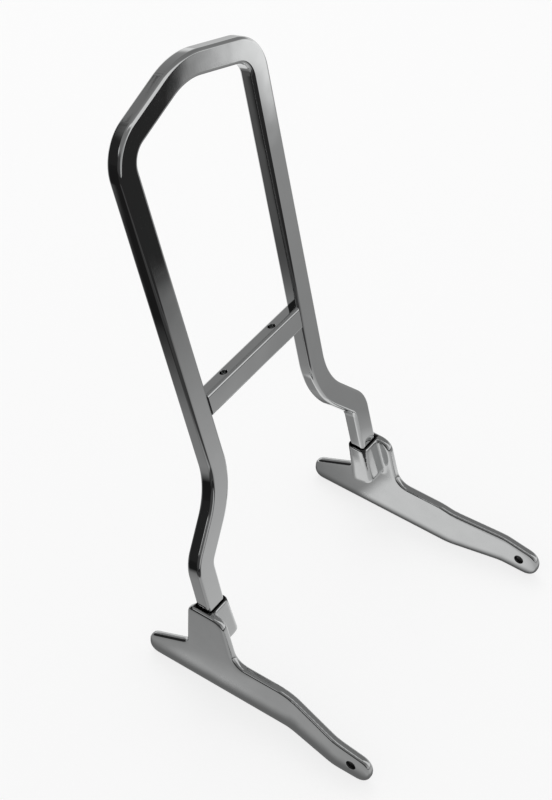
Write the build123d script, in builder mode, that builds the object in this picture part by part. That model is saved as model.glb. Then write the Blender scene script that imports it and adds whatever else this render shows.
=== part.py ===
from build123d import *
import os
from math import sin, cos, tan, radians, hypot

# Motorcycle sissy bar in millimetres. The front is -Y, the rider's left is +X and +Z is up.
# The origin is on the floor under the middle of the part's box.
os.makedirs("parts", exist_ok=True)

# Bar stock of the hoop: wide side to the front, edges rounded
bar_width = 21.0
bar_depth = 13.5
bar_corner = 3.0

# Hoop, in its own leaning plane: half spans across the bike, heights up the plane from the rim
lean = 15.6
foot_half_span = 114.9
waist_half_span = 70.7
shoulder_half_span = 83.0
foot_height = 41.5
waist_height = 90.5
shoulder_height = 409.0
peak_height = 435.5
foot_bend = 16.0
waist_bend = 70.0
shoulder_bend = 28.0
peak_bend = 66.0

# Crossbar between the legs, with two holes for a backrest pad
crossbar_height = 167.5
pad_hole_spacing = 67.0
pad_hole_bore = 6.6

# Socket cast on the inside of each side plate
rim_height = 84.5
seat_depth = 30.0
socket_clearance = 0.2
socket_wall = 2.2
outer_wall = 4.6
boss_length = 39.0
boss_draft = 2.5
boss_corner = 2.5
boss_root = 3.0

# Side plate: lengths are forward of the middle of the socket rim, heights are above the floor
plate_thickness = 8.0
plate_edge = 2.4
tail_length = 53.0
tail_end_height = 19.0
tail_root_height = 37.5
tail_round = 9.0
tab_rear = 13.3
tab_front = 21.5
tab_rear_round = 6.0
tab_front_round = 13.0
tab_foot_front = 34.5
arm_height = 40.5
arm_break = 80.0
arm_length = 176.5
arm_end_height = 24.5
arm_front_round = 12.0
arm_root_round = 14.0
arm_top_round = 60.0

# Outward step of the arm, and the bolt hole in its end
step_start = 92.0
step_end = 141.0
step_out = 9.6
step_round = 60.0
bolt_hole_bore = 8.4
bolt_hole_inset = 18.0
bolt_hole_height = 14.5

# How far a cutting shape reaches past the piece that it cuts
cut_margin = 10.0

# Middle of the part's length: the nose of the arm is in front, the peak of the hoop behind
peak_drop = peak_bend * (hypot(1, (peak_height - shoulder_height) / shoulder_half_span) - 1)
peak_reach = (peak_height - peak_drop) * sin(radians(lean))
section_reach = (
    (bar_width / 2 - bar_corner) * sin(radians(lean))
    + (bar_depth / 2 - bar_corner) * cos(radians(lean))
    + bar_corner
)
rim_y = (arm_length - peak_reach - section_reach) / 2

hoop_plane = Plane(
    origin=(0, rim_y, rim_height),
    x_dir=(1, 0, 0),
    z_dir=(0, -cos(radians(lean)), sin(radians(lean))),
)

# Hoop: one bar, swept round its bends from one foot to the other
half_path = [
    (foot_half_span, -seat_depth),
    (foot_half_span, foot_height),
    (waist_half_span, waist_height),
    (shoulder_half_span, shoulder_height),
]
path_points = half_path + [(0, peak_height)] + [(-x, h) for x, h in reversed(half_path)]
half_bends = [foot_bend, waist_bend, shoulder_bend]
with BuildPart() as hoop:
    with BuildLine(hoop_plane) as hoop_path:
        FilletPolyline(*path_points, radius=half_bends + [peak_bend] + half_bends[::-1])
    with BuildSketch(Plane(origin=hoop_path.line @ 0, x_dir=(1, 0, 0), z_dir=hoop_path.line % 0)):
        RectangleRounded(bar_width, bar_depth, bar_corner)
    sweep()

# Crossbar: cut to the slope of the legs, so that both ends seat on them
leg_slope = (shoulder_half_span - waist_half_span) / (shoulder_height - waist_height)
leg_inset = bar_width / 2 * hypot(1, leg_slope)


def inside_of_leg(height):
    return waist_half_span + leg_slope * (height - waist_height) - leg_inset


crossbar_top = crossbar_height + bar_width / 2
crossbar_base = crossbar_height - bar_width / 2
with BuildPart() as crossbar:
    with BuildSketch(hoop_plane):
        with BuildLine():
            Polyline(
                (-inside_of_leg(crossbar_base), crossbar_base),
                (inside_of_leg(crossbar_base), crossbar_base),
                (inside_of_leg(crossbar_top), crossbar_top),
                (-inside_of_leg(crossbar_top), crossbar_top),
                close=True,
            )
        make_face()
    extrude(amount=bar_depth / 2, both=True)
    fillet(crossbar.edges().filter_by(Axis.X), radius=bar_corner)
    with BuildSketch(Plane(origin=hoop_plane.from_local_coords((0, crossbar_top, 0)),
                           x_dir=(1, 0, 0), z_dir=hoop_plane.y_dir)):
        with Locations((-pad_hole_spacing / 2, 0), (pad_hole_spacing / 2, 0)):
            Circle(pad_hole_bore / 2)
    extrude(amount=-bar_width, mode=Mode.SUBTRACT)

# Side plates: the socket's outer wall stands outside the leg, and the flat of the plate
# lies a little inside it
plate_outside = foot_half_span + bar_width / 2 + socket_clearance + outer_wall
plate_inside = plate_outside - plate_thickness

# Boss of the socket: square to the leg, wider below than at its level rim
boss_inside = foot_half_span - bar_width / 2 - socket_clearance - socket_wall
boss_outside = plate_inside + boss_root
boss_half_depth = bar_depth / 2 + socket_clearance + socket_wall
rim_rise = boss_half_depth * tan(radians(lean))
leg_section = Plane(
    origin=hoop_plane.from_local_coords((0, -seat_depth, 0)),
    x_dir=(1, 0, 0),
    z_dir=hoop_plane.y_dir,
)
with BuildPart() as socket_boss:
    with BuildSketch(leg_section.offset(seat_depth + rim_rise)) as boss_section:
        with Locations(((boss_inside + boss_outside) / 2, 0)):
            Rectangle(boss_outside - boss_inside, 2 * boss_half_depth)
        fillet(boss_section.vertices().group_by(Axis.X)[0], radius=boss_corner)
    extrude(amount=-boss_length - rim_rise, taper=-boss_draft)
    split(bisect_by=Plane.XY.offset(rim_height), keep=Keep.BOTTOM)


def plate_point(forward, height):
    return (rim_y - forward, height)


tail_heel = plate_point(-tail_length, 0)
tail_end = plate_point(-tail_length, tail_end_height)
tail_root = plate_point(-tab_rear, tail_root_height)
tab_rear_top = plate_point(-tab_rear, rim_height)
tab_front_top = plate_point(tab_front, rim_height)
tab_foot = plate_point(tab_foot_front, arm_height)
arm_top = plate_point(arm_break, arm_height)
arm_end = plate_point(arm_length, arm_end_height)
arm_heel = plate_point(arm_length, 0)

# Left side plate: outline seen from the side, then the outward step seen from above
with BuildPart() as left_side_plate:
    with BuildSketch(Plane.YZ.offset(plate_inside - cut_margin)) as outline:
        with BuildLine():
            Polyline(tail_heel, tail_end, tail_root, tab_rear_top, tab_front_top,
                     tab_foot, arm_top, arm_end, arm_heel, close=True)
        make_face()
        corner_rounds = [
            (tail_heel, tail_round), (tail_end, tail_round), (tail_root, plate_edge),
            (tab_rear_top, tab_rear_round), (tab_front_top, tab_front_round),
            (tab_foot, arm_root_round), (arm_top, arm_top_round),
            (arm_end, arm_front_round), (arm_heel, arm_front_round),
        ]
        for corner, radius in corner_rounds:
            vertex = outline.vertices().sort_by_distance(Vector(*corner, 0))[0]
            fillet(vertex, radius=radius)
    extrude(amount=plate_thickness + step_out + 2 * cut_margin)
    with BuildSketch(Plane.XY) as step_plan:
        with BuildLine():
            Polyline(
                (plate_inside, rim_y + tail_length + cut_margin),
                (plate_inside, rim_y - step_start),
                (plate_inside + step_out, rim_y - step_end),
                (plate_inside + step_out, rim_y - arm_length - cut_margin),
                (plate_outside + step_out, rim_y - arm_length - cut_margin),
                (plate_outside + step_out, rim_y - step_end),
                (plate_outside, rim_y - step_start),
                (plate_outside, rim_y + tail_length + cut_margin),
                close=True,
            )
        make_face()
        bends = step_plan.vertices().filter_by_position(Axis.Y, rim_y - step_end, rim_y - step_start)
        fillet(bends, radius=step_round)
    extrude(amount=rim_height + cut_margin, both=True, mode=Mode.INTERSECT)
    bend_lines = left_side_plate.edges().filter_by(Axis.Z).filter_by_position(
        Axis.Y, rim_y - step_end - step_out, rim_y - step_start + step_out)
    corner_lines = left_side_plate.edges().filter_by(Axis.X)
    chamfer(left_side_plate.edges() - bend_lines - corner_lines, length=plate_edge)
    add(socket_boss.part)
    with BuildSketch(leg_section):
        with Locations((foot_half_span, 0)):
            RectangleRounded(
                bar_width + 2 * socket_clearance,
                bar_depth + 2 * socket_clearance,
                bar_corner + socket_clearance,
            )
    extrude(amount=seat_depth + rim_rise + cut_margin, mode=Mode.SUBTRACT)
    with BuildSketch(Plane.YZ.offset(plate_inside)):
        with Locations(plate_point(arm_length - bolt_hole_inset, bolt_hole_height)):
            Circle(bolt_hole_bore / 2)
    extrude(amount=plate_thickness + step_out, mode=Mode.SUBTRACT)

# Right side plate: the mirror image of the left one
with BuildPart() as right_side_plate:
    mirror(left_side_plate.part, about=Plane.YZ)

# Names and files
pieces = {
    "hoop": hoop,
    "crossbar": crossbar,
    "left_side_plate": left_side_plate,
    "right_side_plate": right_side_plate,
}
for name, piece in pieces.items():
    piece.part.label = name
    export_step(piece.part, f"parts/{name}.step")
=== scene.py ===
from itertools import count
from math import cos, hypot, pi, radians, sin, tan

import bmesh
import bpy
from mathutils import Matrix, Vector


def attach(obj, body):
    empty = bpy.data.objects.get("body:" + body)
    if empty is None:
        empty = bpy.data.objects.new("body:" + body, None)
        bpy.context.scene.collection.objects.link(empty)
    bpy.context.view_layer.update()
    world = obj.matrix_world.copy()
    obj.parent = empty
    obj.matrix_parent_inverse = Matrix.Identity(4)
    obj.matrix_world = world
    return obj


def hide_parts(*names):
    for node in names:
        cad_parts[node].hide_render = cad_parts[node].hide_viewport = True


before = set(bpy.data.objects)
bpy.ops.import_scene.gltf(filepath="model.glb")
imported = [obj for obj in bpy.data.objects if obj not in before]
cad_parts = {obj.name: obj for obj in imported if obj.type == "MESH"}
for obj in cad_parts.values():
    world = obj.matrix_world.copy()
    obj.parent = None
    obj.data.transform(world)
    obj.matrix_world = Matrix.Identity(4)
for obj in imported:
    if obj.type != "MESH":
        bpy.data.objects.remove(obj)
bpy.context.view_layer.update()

# Camera.
# It stands in front of the bar, above it and on the rider's right, and looks down at it from
# the photograph's angle. Its focal length is counted in pixels of a picture 800 pixels high.
rim_y = 0.02582  # the socket rims lie this far behind the middle of the part's box
camera_place = Vector((-1.02413, -0.64718 + rim_y, 1.42726))
camera_turn = radians(303.03)
camera_rise = radians(44.78)
camera_roll = radians(2.33)
focal_pixels = 2114.2
frame_height = 800
back = Vector((
    sin(camera_turn) * cos(camera_rise),
    -cos(camera_turn) * cos(camera_rise),
    sin(camera_rise),
))
level = Vector((cos(camera_turn), sin(camera_turn), 0))
upward = back.cross(level)
across = level * cos(camera_roll) + upward * sin(camera_roll)
top = -level * sin(camera_roll) + upward * cos(camera_roll)
lens = bpy.data.cameras.new("photo_camera")
lens.sensor_fit = "VERTICAL"
lens.sensor_height = 24.0
lens.lens = focal_pixels / frame_height * lens.sensor_height
camera = bpy.data.objects.new("photo_camera", lens)
bpy.context.scene.collection.objects.link(camera)
camera.matrix_world = Matrix((
    (across.x, top.x, back.x, camera_place.x),
    (across.y, top.y, back.y, camera_place.y),
    (across.z, top.z, back.z, camera_place.z),
    (0, 0, 0, 1),
))
bpy.context.scene.camera = camera
bpy.context.scene.view_settings.view_transform = "Standard"


# Floor and studio.
# A wide sheet of matt white paper under the bar, a white room, and one large soft lamp above.
# Paper and room are one white to the eye and in the metal, and the paper keeps a faint shadow.
def linear_colour(hex_code):
    """The linear colour of an sRGB hex value."""
    channels = [int(hex_code[i:i + 2], 16) / 255 for i in (1, 3, 5)]
    return [c / 12.92 if c <= 0.04045 else ((c + 0.055) / 1.055) ** 2.4 for c in channels] + [1.0]


def add_node(tree, kind, settings=None, links=None):
    """A new node. A setting is one of its properties or the value of one of its inputs."""
    node = tree.nodes.new(kind)
    for name, value in (settings or {}).items():
        if isinstance(name, str) and hasattr(node, name):
            setattr(node, name, value)
        else:
            node.inputs[name].default_value = value
    for name, source in (links or {}).items():
        tree.links.new(source, node.inputs[name])
    return node


def seen_rays(tree):
    """One for the rays that show a thing: to the camera, in metal and through glass."""
    ray = add_node(tree, "ShaderNodeLightPath")
    seen = add_node(tree, "ShaderNodeMath", {"operation": "MAXIMUM"},
                    {0: ray.outputs["Is Camera Ray"], 1: ray.outputs["Is Glossy Ray"]})
    return add_node(tree, "ShaderNodeMath", {"operation": "MAXIMUM"},
                    {0: seen.outputs[0], 1: ray.outputs["Is Transmission Ray"]})


def bare_material(name):
    material = bpy.data.materials.new(name)
    material.use_nodes = True
    material.node_tree.nodes.clear()
    return material


def mesh_object(name, mesh):
    thing = bpy.data.objects.new(name, mesh)
    bpy.context.scene.collection.objects.link(thing)
    return thing


floor_half = 6.0
floor_drop = 0.0004
floor_corners = [(-1, -1), (1, -1), (1, 1), (-1, 1)]
floor_mesh = bpy.data.meshes.new("floor")
floor_mesh.from_pydata([(x * floor_half, y * floor_half, -floor_drop) for x, y in floor_corners],
                       [], [(0, 1, 2, 3)])
floor = mesh_object("floor", floor_mesh)

# Matt paper has no gloss: the eye sees an even white, with a faint shadow in its lit share.
white_share = 0.78
paper = bare_material("matt_white_paper")
tree = paper.node_tree
lit = add_node(tree, "ShaderNodeBsdfDiffuse", {"Color": linear_colour("#F2F2F2")})
white = add_node(tree, "ShaderNodeEmission", {"Color": linear_colour("#FDFDFD"), "Strength": 1.0})
share = add_node(tree, "ShaderNodeMath", {"operation": "MULTIPLY", 1: white_share},
                 {0: seen_rays(tree).outputs[0]})
blend = add_node(tree, "ShaderNodeMixShader", None,
                 {0: share.outputs[0], 1: lit.outputs[0], 2: white.outputs[0]})
add_node(tree, "ShaderNodeOutputMaterial", None, {"Surface": blend.outputs[0]})
floor_mesh.materials.append(paper)

# The room lights the bar at a plain level, and is seen as white whatever it lights.
room_light = 0.75
world = bpy.data.worlds.new("white_room")
world.use_nodes = True
bpy.context.scene.world = world
tree = world.node_tree
tree.nodes.clear()
room = add_node(tree, "ShaderNodeBackground",
                {"Color": linear_colour("#FFFFFF"), "Strength": room_light})
seen_room = add_node(tree, "ShaderNodeBackground",
                     {"Color": linear_colour("#F9F9F9"), "Strength": 1.0})
blend = add_node(tree, "ShaderNodeMixShader", None,
                 {0: seen_rays(tree).outputs[0], 1: room.outputs[0], 2: seen_room.outputs[0]})
add_node(tree, "ShaderNodeOutputWorld", None, {"Surface": blend.outputs[0]})

# The lamp gives the paper its shadow. The metal shows the cards and the room, but not the lamp.
key_place = Vector((0.9, 0.9, 1.9))
key_aim = Vector((0, 0, 0.2))
key = bpy.data.lights.new("soft_key", "AREA")
key.shape = "RECTANGLE"
key.size = 1.6
key.size_y = 1.2
key.energy = 14.0
key_lamp = bpy.data.objects.new("soft_key", key)
bpy.context.scene.collection.objects.link(key_lamp)
key_lamp.visible_glossy = False
key_turn = (key_place - key_aim).to_track_quat("Z", "Y").to_matrix().to_4x4()
key_lamp.matrix_world = Matrix.Translation(key_place) @ key_turn


# Cards of the studio.
# Soft-edged white, grey and black sheets lie and hang round the bar, as they do when chrome is
# photographed. Only the metal sees them: they give it its bands of light and dark.
def on_floor(turn, distance, lift):
    """A place on the floor: turn is 0 to the front of the bar and 90 to the rider's left."""
    way = radians(turn)
    return Vector((distance * sin(way), -distance * cos(way), -floor_drop + lift))


def on_dome(turn, rise, lift):
    """A place on a wide dome over the bar: rise is 0 level with the floor and 90 overhead."""
    reach = dome_size - lift
    level_reach = reach * cos(radians(rise))
    way = radians(turn)
    return Vector((level_reach * sin(way), -level_reach * cos(way), reach * sin(radians(rise))))


def eased(value, low, high, soft):
    """One inside the range, falling softly to nothing at its two ends."""
    share = min((value - low) / soft, (high - value) / soft, 1.0)
    share = max(share, 0.0)
    return share * share * (3 - 2 * share)


def studio_card(name, place_on, turns, reaches, softness, tones):
    """A sheet between two turns and two reaches; its tone runs from the first reach to the last.

    Each new card lies a hair over the one before, so that it covers it.
    """
    lift = next(card_levels) * card_gap
    points, tone_values, cover_values = [], [], []
    for i in range(card_steps + 1):
        turn = turns[0] + (turns[1] - turns[0]) * i / card_steps
        for k in range(card_steps + 1):
            share = k / card_steps
            reach = reaches[0] + (reaches[1] - reaches[0]) * share
            points.append(place_on(turn, reach, lift))
            tone_values.append(tones[0] + (tones[1] - tones[0]) * share)
            cover_values.append(eased(turn, *turns, softness[0])
                                * eased(reach, *reaches, softness[1]))
    row = card_steps + 1
    faces = [(i * row + k, i * row + k + 1, i * row + row + k + 1, i * row + row + k)
             for i in range(card_steps) for k in range(card_steps)]
    mesh = bpy.data.meshes.new(name)
    mesh.from_pydata(points, [], faces)
    mesh.attributes.new("tone", "FLOAT", "POINT").data.foreach_set("value", tone_values)
    mesh.attributes.new("cover", "FLOAT", "POINT").data.foreach_set("value", cover_values)
    mesh.materials.append(card_face)
    sheet = mesh_object(name, mesh)
    sheet.visible_camera = False
    sheet.visible_diffuse = False
    sheet.visible_transmission = False
    sheet.visible_shadow = False


dome_size = 5.0
card_steps = 40
card_gap = 0.00003
card_levels = count(1)

# A card glows evenly with its tone and fades out at its edges, so the metal's bands are soft.
card_face = bare_material("soft_edged_card")
tree = card_face.node_tree
tone = add_node(tree, "ShaderNodeAttribute", {"attribute_name": "tone"})
cover = add_node(tree, "ShaderNodeAttribute", {"attribute_name": "cover"})
clear = add_node(tree, "ShaderNodeBsdfTransparent")
glow = add_node(tree, "ShaderNodeEmission", {"Color": linear_colour("#FFFFFF")},
                {"Strength": tone.outputs["Fac"]})
blend = add_node(tree, "ShaderNodeMixShader", None,
                 {0: cover.outputs["Fac"], 1: clear.outputs[0], 2: glow.outputs[0]})
add_node(tree, "ShaderNodeOutputMaterial", None, {"Surface": blend.outputs[0]})

# For each card: its two turns in degrees, its two reaches (metres out on the floor, degrees up
# on the dome), how soft its sides and its ends are in the same units, and its two tones.
floor_cards = {
    "grey_paper_in_front": ((-110, 52), (0.03, 1.00), (10, 0.05), (0.72, 0.12)),
    "grey_paper_on_left": ((38, 130), (0.22, 1.70), (10, 0.10), (0.33, 0.42)),
    "white_paper_on_left": ((47, 104), (1.25, 5.60), (3, 0.40), (1.20, 1.20)),
    "pale_paper_behind_left": ((96, 160), (1.00, 5.60), (8, 0.40), (0.64, 0.64)),
    "white_paper_between_plates": ((36, 104), (0.05, 0.23), (8, 0.03), (0.95, 0.90)),
    "grey_paper_at_left_tail": ((100, 160), (0.07, 0.20), (8, 0.02), (0.55, 0.05)),
    "grey_paper_at_right_arm": ((-95, -30), (0.12, 0.50), (16, 0.03), (0.48, 0.40)),
    "grey_paper_at_right_tail": ((-185, -80), (0.13, 0.50), (12, 0.03), (0.42, 0.12)),
    "black_cloth_in_front": ((-110, 48), (0.87, 5.60), (2.5, 0.08), (0.03, 0.03)),
    "black_cloth_in_front_right": ((-118, -4), (0.36, 0.95), (14, 0.10), (0.06, 0.06)),
    "black_cloth_behind_right": ((-160, -97), (0.33, 5.60), (8, 0.04), (0.015, 0.02)),
    "dark_cloth_behind": ((-170, -133), (0.33, 5.60), (3, 0.04), (0.12, 0.09)),
    "grey_paper_under_hoop": ((148, 204), (0.05, 0.17), (10, 0.03), (0.36, 0.30)),
}
dome_cards = {
    "grey_roof": ((40, 376), (32, 90), (8, 14), (0.26, 0.26)),
    "grey_wall_on_left": ((40, 172), (5, 60), (8, 8), (0.38, 0.14)),
    "grey_wall_in_front": ((-40, 24), (-20, 62), (8, 14), (0.80, 0.10)),
    "dark_wall_in_front_right": ((-110, -28), (-20, 62), (8, 14), (0.06, 0.10)),
    "black_wall_behind_right": ((205, 266), (-20, 34), (12, 10), (0.02, 0.03)),
    "black_wall_behind": ((154, 232), (-20, 54), (12, 12), (0.02, 0.03)),
    "overhead_softbox": ((-37, -13), (58, 70), (4, 4), (3.0, 3.0)),
}
for name, card in floor_cards.items():
    studio_card(name, on_floor, *card)
for name, card in dome_cards.items():
    studio_card(name, on_dome, *card)

# Hoop.
# One length of steel bar with rounded edges, bent at seven places, ground, polished and chrome
# plated. A flat curve carries each corner's bend, and the bar's section is swept along it.
bar_width = 0.021
bar_depth = 0.0135
bar_corner = 0.003
lean = radians(15.6)
rim_height = 0.0845
seat_depth = 0.030
foot_half_span, foot_height, foot_bend = 0.1149, 0.0415, 0.022
waist_half_span, waist_height, waist_bend = 0.0707, 0.0905, 0.070
shoulder_half_span, shoulder_height, shoulder_bend = 0.083, 0.409, 0.028
peak_height, peak_bend = 0.4355, 0.066
bend_steps = 28
corner_steps = 6

# Polished chrome plate on steel: a neutral mirror. The polishing wheel leaves cloudy patches,
# a slow ripple, and fine lines along the legs; the real lines are finer, and are drawn at
# 0.6 mm to show. Inputs 6 and 7 of a colour mix are its two colours.
haze_size = 0.022
ripple_size = 0.030
line_spacing = 0.0006
chrome = bare_material("polished_chrome_on_bar")
tree = chrome.node_tree
place = add_node(tree, "ShaderNodeTexCoord")
haze = add_node(tree, "ShaderNodeTexNoise",
                {"Scale": 1 / haze_size, "Detail": 3.0, "Roughness": 0.6},
                {"Vector": place.outputs["Object"]})
dull = add_node(tree, "ShaderNodeMapRange",
                {"From Min": 0.35, "From Max": 0.7, "To Min": 0.035, "To Max": 0.07},
                {"Value": haze.outputs["Fac"]})
grain = add_node(tree, "ShaderNodeMapping", {"Scale": (1.0, 0.06, 0.06)},
                 {"Vector": place.outputs["Object"]})
lines = add_node(tree, "ShaderNodeTexNoise", {"Scale": 1 / line_spacing, "Detail": 2.0},
                 {"Vector": grain.outputs["Vector"]})
ripple = add_node(tree, "ShaderNodeTexNoise", {"Scale": 1 / ripple_size, "Detail": 1.0},
                  {"Vector": place.outputs["Object"]})
fine = add_node(tree, "ShaderNodeBump", {"Strength": 0.10, "Distance": 0.00002},
                {"Height": lines.outputs["Fac"]})
slow = add_node(tree, "ShaderNodeBump", {"Strength": 0.30, "Distance": 0.0004},
                {"Height": ripple.outputs["Fac"], "Normal": fine.outputs["Normal"]})
tint = add_node(tree, "ShaderNodeMix",
                {"data_type": "RGBA", 6: linear_colour("#CBCCCC"), 7: linear_colour("#C4C5C5")},
                {0: haze.outputs["Fac"]})
shade = add_node(tree, "ShaderNodeBsdfPrincipled", {"Metallic": 1.0},
                 {"Base Color": tint.outputs[2], "Roughness": dull.outputs["Result"],
                  "Normal": slow.outputs["Normal"]})
add_node(tree, "ShaderNodeOutputMaterial", None, {"Surface": shade.outputs[0]})

half_line = [
    (foot_half_span, -seat_depth, 0.0),
    (foot_half_span, foot_height, foot_bend),
    (waist_half_span, waist_height, waist_bend),
    (shoulder_half_span, shoulder_height, shoulder_bend),
]
whole_line = half_line + [(0.0, peak_height, peak_bend)]
whole_line += [(-x, height, bend) for x, height, bend in half_line[::-1]]
line = bpy.data.curves.new("hoop_line", "CURVE")
line.dimensions = "3D"
spline = line.splines.new("POLY")
spline.points.add(len(whole_line) - 1)
for point, (x, height, bend) in zip(spline.points, whole_line):
    point.co = (x, height, 0, 1)
    point.radius = bend
hoop_curve = mesh_object("hoop_line", line)

sweep = bpy.data.node_groups.new("bent_bar", "GeometryNodeTree")
for name, kind in (
        ("Line", "NodeSocketGeometry"), ("Bar Width", "NodeSocketFloat"),
        ("Bar Depth", "NodeSocketFloat"), ("Edge Radius", "NodeSocketFloat"),
        ("Chrome", "NodeSocketMaterial")):
    sweep.interface.new_socket(name, in_out="INPUT", socket_type=kind)
sweep.interface.new_socket("Bar", in_out="OUTPUT", socket_type="NodeSocketGeometry")
given = add_node(sweep, "NodeGroupInput")
bend_size = add_node(sweep, "GeometryNodeInputRadius")
bent = add_node(sweep, "GeometryNodeFilletCurve",
                {"mode": "POLY", "Count": bend_steps, "Limit Radius": True},
                {"Curve": given.outputs["Line"], "Radius": bend_size.outputs[0]})
even = add_node(sweep, "GeometryNodeSetCurveRadius", {"Radius": 1.0}, {"Curve": bent.outputs[0]})
upright = add_node(sweep, "GeometryNodeSetCurveNormal", {"mode": "Z_UP"},
                   {"Curve": even.outputs[0]})
block = add_node(sweep, "GeometryNodeCurvePrimitiveQuadrilateral", None,
                 {"Width": given.outputs["Bar Width"], "Height": given.outputs["Bar Depth"]})
section = add_node(sweep, "GeometryNodeFilletCurve", {"mode": "POLY", "Count": corner_steps},
                   {"Curve": block.outputs[0], "Radius": given.outputs["Edge Radius"]})
bar = add_node(sweep, "GeometryNodeCurveToMesh", {"Fill Caps": True},
               {"Curve": upright.outputs[0], "Profile Curve": section.outputs[0]})
leaning = add_node(sweep, "GeometryNodeTransform",
                   {"Translation": (0, rim_y, rim_height), "Rotation": (pi / 2 - lean, 0, 0)},
                   {"Geometry": bar.outputs[0]})
soft = add_node(sweep, "GeometryNodeSetShadeSmooth", None, {"Geometry": leaning.outputs[0]})
real = add_node(sweep, "GeometryNodeRealizeInstances", None, {"Geometry": soft.outputs[0]})
plated = add_node(sweep, "GeometryNodeSetMaterial", None,
                  {"Geometry": real.outputs[0], "Material": given.outputs["Chrome"]})
add_node(sweep, "NodeGroupOutput", None, {"Bar": plated.outputs[0]})

bender = hoop_curve.modifiers.new("bent_bar", "NODES")
bender.node_group = sweep
inputs = [item for item in sweep.interface.items_tree if item.in_out == "INPUT"]
sockets = {item.name: item.identifier for item in inputs}
bender[sockets["Bar Width"]] = bar_width
bender[sockets["Bar Depth"]] = bar_depth
bender[sockets["Edge Radius"]] = bar_corner
bender[sockets["Chrome"]] = chrome


def finished_mesh(thing, name):
    """The plain mesh that a piece's modifiers end in, as a new object in its place."""
    bpy.context.view_layer.update()
    evaluated = thing.evaluated_get(bpy.context.evaluated_depsgraph_get())
    mesh = bpy.data.meshes.new_from_object(evaluated)
    mesh.name = name
    bpy.data.objects.remove(thing)
    return mesh_object(name, mesh)


def even_normals(thing):
    """Smooth over the rounded edges, with the flats kept flat."""
    for face in thing.data.polygons:
        face.use_smooth = True
    thing.modifiers.new("flat_sides", "WEIGHTED_NORMAL").keep_sharp = True
    return finished_mesh(thing, thing.name)


hoop = finished_mesh(hoop_curve, "hoop_bar")
hoop = even_normals(hoop)
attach(hoop, "root")
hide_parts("hoop")

# Crossbar.
# A short piece of the same bar between the legs, welded at both ends and ground before plating.
# Two plain holes in its upper face take the screws of a backrest pad.
crossbar_height = 0.1675
hole_spacing = 0.067
hole_radius = 0.0033
hole_mouth = 0.0003
drill_sides = 48
crossbar_sharp = radians(40)
leg_slope = (shoulder_half_span - waist_half_span) / (shoulder_height - waist_height)
leg_inset = bar_width / 2 * hypot(1, leg_slope)
hoop_plane = Matrix.Translation((0, rim_y, rim_height)) @ Matrix.Rotation(pi / 2 - lean, 4, "X")


def inside_of_leg(height):
    return waist_half_span + leg_slope * (height - waist_height) - leg_inset


def bar_section(growth=0.0):
    """Points round the bar's section, from its middle; growth moves them outwards."""
    points = []
    for side, front, start in ((1, 1, 0), (-1, 1, 90), (-1, -1, 180), (1, -1, 270)):
        for step in range(corner_steps + 1):
            turn = radians(start + step * 90 / corner_steps)
            points.append((
                side * (bar_width / 2 - bar_corner) + (bar_corner + growth) * cos(turn),
                front * (bar_depth / 2 - bar_corner) + (bar_corner + growth) * sin(turn),
            ))
    return points


def lofted(mesh, rings):
    """A closed skin through rings of points, with a cap on each end, as its faces."""
    loops = [[mesh.verts.new(point) for point in ring] for ring in rings]
    size = len(loops[0])
    faces = [mesh.faces.new((low[i], low[(i + 1) % size], high[(i + 1) % size], high[i]))
             for low, high in zip(loops, loops[1:]) for i in range(size)]
    faces += [mesh.faces.new(loops[0][::-1]), mesh.faces.new(loops[-1])]
    bmesh.ops.recalc_face_normals(mesh, faces=faces)
    return faces


def as_object(name, mesh):
    data = bpy.data.meshes.new(name)
    mesh.to_mesh(data)
    mesh.free()
    return mesh_object(name, data)


def drilled(thing, cutters):
    """A piece with each cutter's shape taken out of it."""
    for cutter in cutters:
        cut = thing.modifiers.new("drill", "BOOLEAN")
        cut.operation = "DIFFERENCE"
        cut.solver = "EXACT"
        cut.object = cutter
    done = finished_mesh(thing, thing.name)
    for cutter in cutters:
        bpy.data.objects.remove(cutter)
    return done


def drill_bit(radius, mouth, length, place):
    """A round cutter that opens a little at both ends, so that the hole's rims are eased."""
    turns = [2 * pi * side / drill_sides for side in range(drill_sides)]
    wide = radius + 2 * mouth
    mesh = bmesh.new()
    lofted(mesh, [[(size * cos(turn), size * sin(turn), height) for turn in turns]
                  for height, size in ((-length / 2 - mouth, wide), (-length / 2 + mouth, radius),
                                       (length / 2 - mouth, radius), (length / 2 + mouth, wide))])
    mesh.transform(place)
    return as_object("drill_bit", mesh)


mesh = bmesh.new()
lofted(mesh, [[(side * inside_of_leg(crossbar_height + up), crossbar_height + up, out)
               for up, out in bar_section()] for side in (-1, 1)])
mesh.transform(hoop_plane)
crossbar = as_object("crossbar_bar", mesh)
through_bar = Matrix.Rotation(pi / 2, 4, "X")
bits = []
for x in (-hole_spacing / 2, hole_spacing / 2):
    hole_place = hoop_plane @ Matrix.Translation((x, crossbar_height, 0)) @ through_bar
    bits.append(drill_bit(hole_radius, hole_mouth, bar_width, hole_place))
crossbar = drilled(crossbar, bits)
crossbar.data.materials.clear()
crossbar.data.materials.append(chrome)
crossbar.data.set_sharp_from_angle(angle=crossbar_sharp)
crossbar = even_normals(crossbar)
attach(crossbar, "root")
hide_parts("crossbar")

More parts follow.
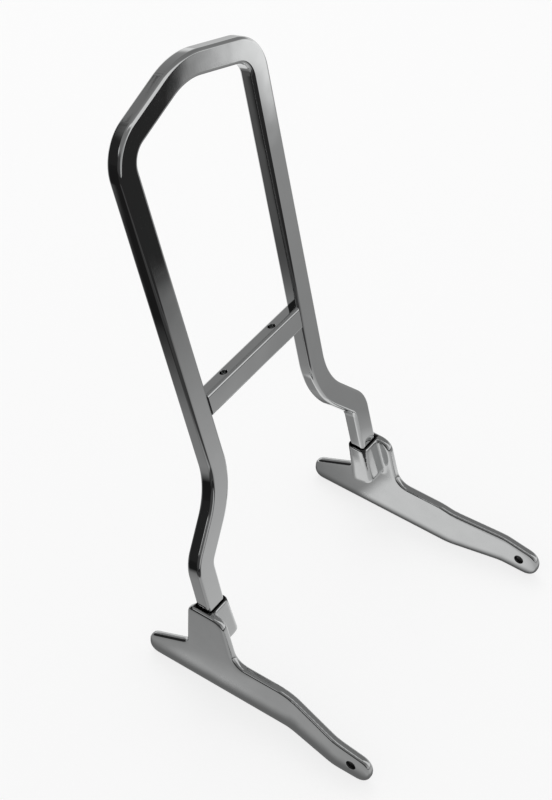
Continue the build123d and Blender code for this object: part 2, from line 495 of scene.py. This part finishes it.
# Side plates.
# Each is one steel casting, with its outer edges well rounded: tail, upright tab, socket boss
# and an arm that steps outwards to its bolt hole. It is ground, polished and chrome plated.
# Lengths are forward of the middle of the socket rim, heights are above the floor.
socket_clearance = 0.0002
outer_wall = 0.0046
plate_thickness = 0.008
plate_outside = foot_half_span + bar_width / 2 + socket_clearance + outer_wall
plate_inside = plate_outside - plate_thickness
edge_round = 0.0024
edge_steps = 6
tail_length, tail_end_height, tail_root_height = 0.053, 0.019, 0.0375
tab_rear, tab_front, tab_foot_front = 0.0133, 0.0215, 0.0345
arm_height, arm_break = 0.0405, 0.080
arm_length, arm_end_height = 0.1765, 0.0245
tail_round, tail_root_round = 0.009, 0.005
tab_rear_round, tab_front_round = 0.006, 0.013
arm_root_round, arm_top_round, arm_front_round = 0.014, 0.060, 0.012
outline_corners = [
    ((-tail_length, 0.0), tail_round),
    ((-tail_length, tail_end_height), tail_round),
    ((-tab_rear, tail_root_height), tail_root_round),
    ((-tab_rear, rim_height), tab_rear_round),
    ((tab_front, rim_height), tab_front_round),
    ((tab_foot_front, arm_height), arm_root_round),
    ((arm_break, arm_height), arm_top_round),
    ((arm_length, arm_end_height), arm_front_round),
    ((arm_length, 0.0), arm_front_round),
]
outline_spacing = 0.0015
step_start, step_end, step_out, step_ease = 0.092, 0.141, 0.0096, 0.0058
slice_width = 0.0024


def rounded_outline(corners, spacing):
    """Points round a closed outline whose corners are rounded."""
    points = []
    for i, (corner, radius) in enumerate(corners):
        corner = Vector(corner)
        before = (Vector(corners[i - 1][0]) - corner).normalized()
        after = (Vector(corners[(i + 1) % len(corners)][0]) - corner).normalized()
        opening = before.angle(after)
        tangent = radius / tan(opening / 2)
        centre = corner + (before + after).normalized() * (radius / sin(opening / 2))
        first = corner + before * tangent - centre
        swing = first.angle_signed(corner + after * tangent - centre)
        steps = max(2, int(abs(swing) * radius / spacing))
        for k in range(steps + 1):
            turn = -swing * k / steps
            points.append(centre + Vector((first.x * cos(turn) - first.y * sin(turn),
                                           first.x * sin(turn) + first.y * cos(turn))))
    return points


def step_shift(forward):
    """How far outwards the arm lies at a distance in front of the socket."""
    slope = step_out / (step_end - step_start)
    if forward < step_start - step_ease:
        return 0.0
    if forward < step_start + step_ease:
        return slope * (forward - step_start + step_ease) ** 2 / (4 * step_ease)
    if forward < step_end - step_ease:
        return slope * (forward - step_start)
    if forward < step_end + step_ease:
        return step_out - slope * (step_end + step_ease - forward) ** 2 / (4 * step_ease)
    return step_out


def under_plate(side):
    """Places on the floor along a plate, whose arm steps outwards."""
    def place_on(offset, forward, lift):
        out = plate_inside + offset + step_shift(forward)
        return Vector((side * out, rim_y - forward, -floor_drop + lift))
    return place_on


# Where the plates stand on the floor, the metal shows a narrow dark line: these dark cards are
# painted shadow, for the plates' contact shadow on the floor that the other cards hide from the
# metal.
studio_card("shade_under_left_plate", under_plate(1),
            (-0.0085, 0.030), (-0.08, 0.20), (0.007, 0.02), (0.14, 0.14))
studio_card("shade_under_right_plate", under_plate(-1),
            (-0.020, 0.020), (-0.08, 0.20), (0.008, 0.02), (0.20, 0.20))

# The outline is drawn in towards both faces, to round the edges, and cut into slices that bend.
outline = rounded_outline(outline_corners, outline_spacing)
inward = []
for i in range(len(outline)):
    along = (outline[(i + 1) % len(outline)] - outline[i - 1]).normalized()
    inward.append(Vector((along.y, -along.x)))
quarter = [pi / 2 * k / edge_steps for k in range(edge_steps + 1)]
profile = [(plate_inside + edge_round * (1 - sin(turn)), edge_round * (1 - cos(turn)))
           for turn in quarter[::-1]]
profile += [(plate_outside - edge_round * (1 - sin(turn)), edge_round * (1 - cos(turn)))
            for turn in quarter]
rings = [[(x, -(point + way * inset).x, (point + way * inset).y)
          for point, way in zip(outline, inward)] for x, inset in profile]
mesh = bmesh.new()
lofted(mesh, rings)
bmesh.ops.remove_doubles(mesh, verts=mesh.verts, dist=0.00001)
cut = step_start - 2 * step_ease
while cut < step_end + 2 * step_ease:
    bmesh.ops.bisect_plane(mesh, geom=mesh.verts[:] + mesh.edges[:] + mesh.faces[:],
                           plane_co=(0, -cut, 0), plane_no=(0, 1, 0))
    cut += slice_width
for vertex in mesh.verts:
    vertex.co.x += step_shift(-vertex.co.y)
    vertex.co.y += rim_y

# The boss stands square to the leg, is wider below than above, and is cut off level at its rim.
boss_wall = 0.0024
boss_root = 0.003
boss_inside = foot_half_span - bar_width / 2 - boss_wall
boss_outside = plate_inside + boss_root
boss_half_depth = bar_depth / 2 + boss_wall
boss_length = 0.039
boss_rise = 0.006
boss_draft = tan(radians(2.5))
boss_corner = 0.0052
boss_underside = [(0.0035, 0.0), (0.0015, 0.0005), (0.0004, 0.0016), (0.0, 0.0035)]
leg_place = Matrix.Translation((0, rim_y, rim_height)) @ Matrix.Rotation(-lean, 4, "X")


def boss_ring(height, spread):
    """Section of the boss across the leg, its two inner corners rounded."""
    inner, deep = boss_inside - spread, boss_half_depth + spread
    points = [(boss_outside, -deep), (boss_outside, deep)]
    for middle, start in ((deep - boss_corner, 90), (-deep + boss_corner, 180)):
        for step in range(corner_steps + 1):
            turn = radians(start + step * 90 / corner_steps)
            points.append((inner + boss_corner + boss_corner * cos(turn),
                           middle + boss_corner * sin(turn)))
    return [leg_place @ Vector((x, y, height)) for x, y in points]


boss_rings = [boss_ring(boss_rise, -boss_rise * boss_draft)]
boss_rings += [boss_ring(-boss_length + lift, boss_length * boss_draft - pull)
               for lift, pull in boss_underside]
boss_faces = lofted(mesh, boss_rings[::-1])
boss_verts = list(dict.fromkeys(vertex for face in boss_faces for vertex in face.verts))
boss_edges = list(dict.fromkeys(edge for face in boss_faces for edge in face.edges))
trimmed = bmesh.ops.bisect_plane(mesh, geom=boss_faces + boss_verts + boss_edges, clear_outer=True,
                                 plane_co=(0, 0, rim_height), plane_no=(0, 0, 1))
rim_edges = [part for part in trimmed["geom_cut"] if isinstance(part, bmesh.types.BMEdge)]
bmesh.ops.holes_fill(mesh, edges=rim_edges)

# One skin over plate and boss, with the hollows between them eased as in a polished casting
skin_grain = 0.0008
polish_passes = 28
plate = as_object("cast_plate", mesh)
skin = plate.modifiers.new("cast_skin", "REMESH")
skin.mode = "VOXEL"
skin.voxel_size = skin_grain
ease = plate.modifiers.new("polish", "SMOOTH")
ease.factor = 0.5
ease.iterations = polish_passes
plate = finished_mesh(plate, "cast_plate")

# The socket's pocket opens at its rim, and the bolt hole goes through the end of the arm.
gap = 0.0003
mouth = 0.0016
mouth_base, mouth_top, cutter_top = -0.0045, 0.0005, 0.020
bolt_radius = 0.0042
bolt_mouth = 0.0004
bolt_inset = 0.018
bolt_height = 0.0145
pocket = bmesh.new()
lofted(pocket, [[leg_place @ Vector((foot_half_span + x, y, height)) for x, y in bar_section(widen)]
                for height, widen in ((-seat_depth, gap), (mouth_base, gap),
                                      (mouth_top, gap + mouth), (cutter_top, gap + mouth))])
pocket_cutter = as_object("pocket", pocket)
bolt_place = Matrix.Translation(((plate_inside + plate_outside) / 2 + step_out,
                                 rim_y - arm_length + bolt_inset, bolt_height))
bolt_bit = drill_bit(bolt_radius, bolt_mouth, plate_thickness,
                     bolt_place @ Matrix.Rotation(pi / 2, 4, "Y"))
plate = drilled(plate, [pocket_cutter, bolt_bit])

# Chrome plate over a cast skin: a little softer than on the bar. The wheel leaves slow waves,
# and the casting fine pits; the real ones are finer, and are drawn at 1.2 mm to show.
cloud_size = 0.016
wave_length = 0.014
pit_size = 0.0012
cast_chrome = bare_material("chrome_plate_over_casting")
tree = cast_chrome.node_tree
place = add_node(tree, "ShaderNodeTexCoord")
haze = add_node(tree, "ShaderNodeTexNoise",
                {"Scale": 1 / cloud_size, "Detail": 4.0, "Roughness": 0.6},
                {"Vector": place.outputs["Object"]})
dull = add_node(tree, "ShaderNodeMapRange",
                {"From Min": 0.35, "From Max": 0.7, "To Min": 0.06, "To Max": 0.12},
                {"Value": haze.outputs["Fac"]})
waves = add_node(tree, "ShaderNodeTexNoise", {"Scale": 1 / wave_length, "Detail": 1.0},
                 {"Vector": place.outputs["Object"]})
pits = add_node(tree, "ShaderNodeTexNoise", {"Scale": 1 / pit_size, "Detail": 2.0},
                {"Vector": place.outputs["Object"]})
fine = add_node(tree, "ShaderNodeBump", {"Strength": 0.12, "Distance": 0.00005},
                {"Height": pits.outputs["Fac"]})
slow = add_node(tree, "ShaderNodeBump", {"Strength": 0.35, "Distance": 0.0004},
                {"Height": waves.outputs["Fac"], "Normal": fine.outputs["Normal"]})
tint = add_node(tree, "ShaderNodeMix",
                {"data_type": "RGBA", 6: linear_colour("#C8C9C9"), 7: linear_colour("#BDBEBE")},
                {0: haze.outputs["Fac"]})
shade = add_node(tree, "ShaderNodeBsdfPrincipled", {"Metallic": 1.0},
                 {"Base Color": tint.outputs[2], "Roughness": dull.outputs["Result"],
                  "Normal": slow.outputs["Normal"]})
add_node(tree, "ShaderNodeOutputMaterial", None, {"Surface": shade.outputs[0]})

# Inside the socket and the bolt hole the plating is thin and was never polished: dull, over the
# grain of the bare casting. Its dark colour is painted shade, for the shade deep in these recesses.
recess_grain = 0.0015
recess = bare_material("dull_plating_with_painted_shade_in_recess")
tree = recess.node_tree
place = add_node(tree, "ShaderNodeTexCoord")
bare_skin = add_node(tree, "ShaderNodeTexNoise", {"Scale": 1 / recess_grain, "Detail": 3.0},
                     {"Vector": place.outputs["Object"]})
tint = add_node(tree, "ShaderNodeMix",
                {"data_type": "RGBA", 6: linear_colour("#3A3A3A"), 7: linear_colour("#555555")},
                {0: bare_skin.outputs["Fac"]})
rough = add_node(tree, "ShaderNodeBump", {"Strength": 0.3, "Distance": 0.0002},
                 {"Height": bare_skin.outputs["Fac"]})
shade = add_node(tree, "ShaderNodeBsdfPrincipled", {"Metallic": 1.0, "Roughness": 0.45},
                 {"Base Color": tint.outputs[2], "Normal": rough.outputs["Normal"]})
add_node(tree, "ShaderNodeOutputMaterial", None, {"Surface": shade.outputs[0]})

plate_sharp = radians(55)
recess_floor = -seat_depth - 0.001
recess_half_width = bar_width / 2 + gap + mouth
recess_half_depth = bar_depth / 2 + gap + mouth
to_leg, to_bolt = leg_place.inverted(), bolt_place.inverted()
plate.data.materials.clear()
plate.data.materials.append(cast_chrome)
plate.data.materials.append(recess)
# The faces in the socket, its mouth and the bolt hole take the dark material with its painted
# shade.
for face in plate.data.polygons:
    in_leg, in_bolt = to_leg @ face.center, to_bolt @ face.center
    in_socket = (abs(in_leg.x - foot_half_span) < recess_half_width
                 and abs(in_leg.y) < recess_half_depth and in_leg.z > recess_floor)
    in_hole = hypot(in_bolt.y, in_bolt.z) < bolt_radius + bolt_mouth
    face.material_index = int(in_socket or in_hole)
plate.data.set_sharp_from_angle(angle=plate_sharp)
for face in plate.data.polygons:
    face.use_smooth = True

# The right plate is the mirror image of the left one, with its faces turned outwards again.
twin_data = plate.data.copy()
twin_data.transform(Matrix.Scale(-1, 4, (1, 0, 0)))
twin_data.flip_normals()
for name, data, node in (("left_plate", plate.data, "left_side_plate"),
                         ("right_plate", twin_data, "right_side_plate")):
    data.name = name
    piece = mesh_object(name, data)
    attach(piece, "root")
    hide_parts(node)
bpy.data.objects.remove(plate)
